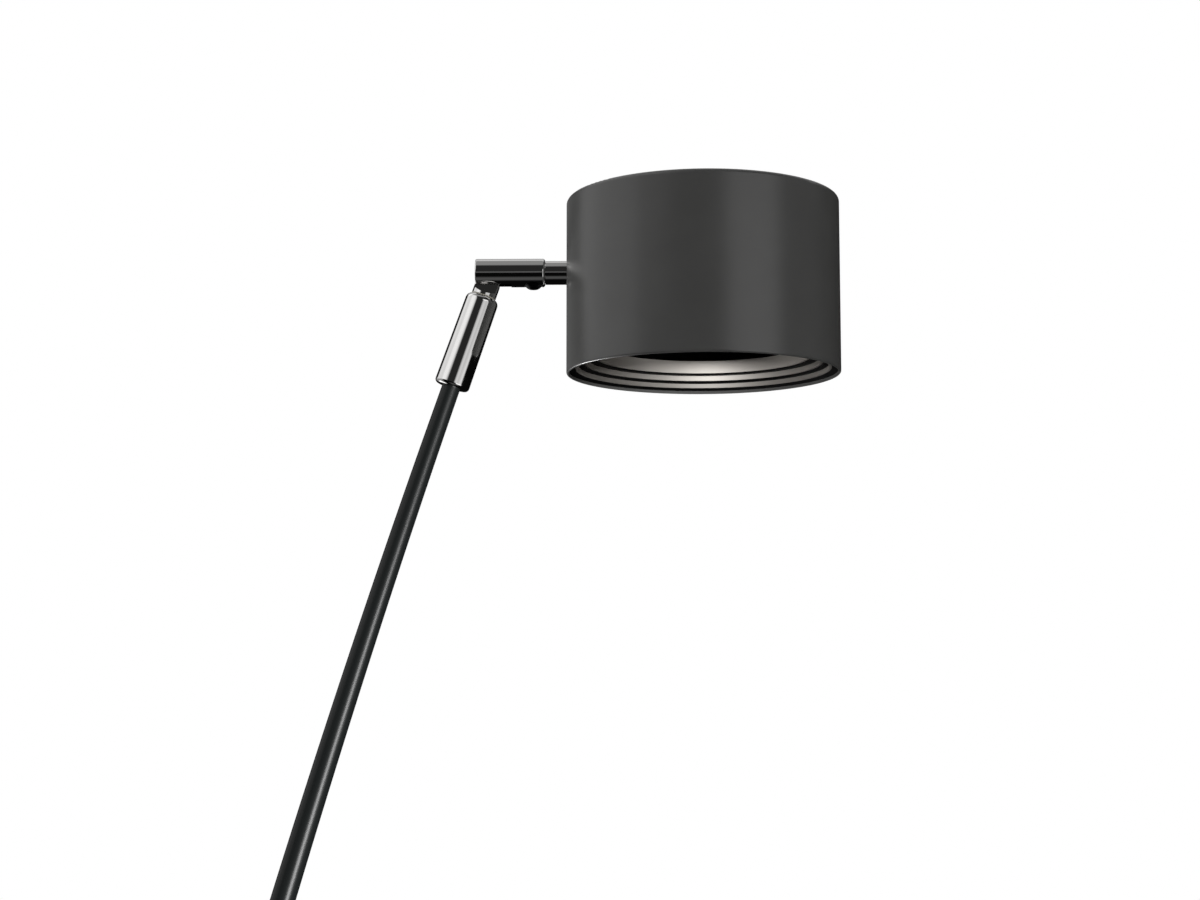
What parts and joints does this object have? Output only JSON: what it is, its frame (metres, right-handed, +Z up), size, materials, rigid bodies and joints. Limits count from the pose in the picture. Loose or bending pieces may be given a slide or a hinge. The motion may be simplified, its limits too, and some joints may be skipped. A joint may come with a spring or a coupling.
{
  "type": "floor lamp",
  "caption": "Reading floor lamp: drum head on a chrome knuckle, at the end of a bowed, tapering stem that swivels on a round weighted base with a foot switch.",
  "frame": {"origin": "on the floor under the middle of the round base", "axes": "+Z up, +X from the base towards the head, +Y to the back as the picture is seen"},
  "size_m": [0.6035, 0.26, 1.2542],
  "materials": {
    "felt": "pressed felt",
    "cast_iron": "rough cast, primed",
    "graphite_paint": "satin powder coat, graphite grey",
    "black_paint": "satin black powder coat",
    "chrome": "polished chrome plate",
    "zinc_steel": "bright zinc plate",
    "nylon": "natural moulded nylon",
    "black_plastic": "moulded, fine grain",
    "black_steel": "blackened steel",
    "phenolic": "moulded phenolic",
    "black_baffle": "matt black moulding",
    "brass": "plain turned brass",
    "bulb_metal": "rolled cap",
    "opal_glass": "opal, satin",
    "lead_sheath": "black flexible sheath",
    "satin_aluminium": "turned satin"
  },
  "bodies": {
    "base": {"base_pad": "felt", "base_weight": "cast_iron", "base_cover": "graphite_paint", "base_socket": "chrome", "socket_washer": "zinc_steel", "socket_nut": "zinc_steel", "thrust_washer": "nylon", "cord_inlet": "black_plastic", "inlet_nut": "black_plastic", "terminal_block": "nylon", "terminal_screws": "brass", "switch_body": "black_plastic", "switch_bezel": "chrome"},
    "button": {"switch_button": "black_plastic"},
    "stem": {"swivel_foot": "chrome", "swivel_clip": "zinc_steel", "foot_grub_screw": "black_steel", "stem_tube": "black_paint", "stem_lead": "lead_sheath", "upper_sleeve": "chrome", "neck_bush": "nylon"},
    "neck": {"neck": "chrome", "neck_clip": "zinc_steel"},
    "barrel": {"barrel": "chrome", "pivot_pin": "zinc_steel", "friction_washers": "black_plastic", "tension_screw": "black_steel", "friction_pad": "brass"},
    "head": {"neck_tube": "chrome", "tube_lead": "lead_sheath", "drum": "graphite_paint", "saddle_washer": "black_plastic", "drum_nut": "zinc_steel", "lampholder": "phenolic", "holder_shell": "brass", "holder_contact": "brass", "bulb_cap": "bulb_metal", "bulb_glass": "opal_glass", "baffle_carrier": "black_baffle", "lower_bright_ring": "satin_aluminium", "upper_bright_ring": "satin_aluminium", "reflector_band": "satin_aluminium"}
  },
  "joints": [
    {"name": "base_swivel", "type": "hinge", "parent": "base", "child": "stem", "pos_m": [0, 0, 0.031], "axis": [0, 0, 1], "range_deg": [-170, 170]},
    {"name": "neck_turn", "type": "hinge", "parent": "stem", "child": "neck", "pos_m": [0.28895, 0, 1.21715], "axis": [0.3272, 0, 0.9449], "range_deg": [-160, 160]},
    {"name": "head_tilt", "type": "hinge", "parent": "neck", "child": "barrel", "pos_m": [0.28895, 0, 1.21715], "axis": [0, -1, 0], "range_deg": [-40, 60]},
    {"name": "head_roll", "type": "hinge", "parent": "barrel", "child": "head", "pos_m": [0.28895, 0, 1.21715], "axis": [1, 0, 0], "range_deg": [-150, 150]},
    {"name": "button_press", "type": "slide", "parent": "base", "child": "button", "axis": [0, 0, -1], "range_m": [0, 0.003], "stiffness_N_per_m": 600, "springref_m": -0.004}
  ]
}
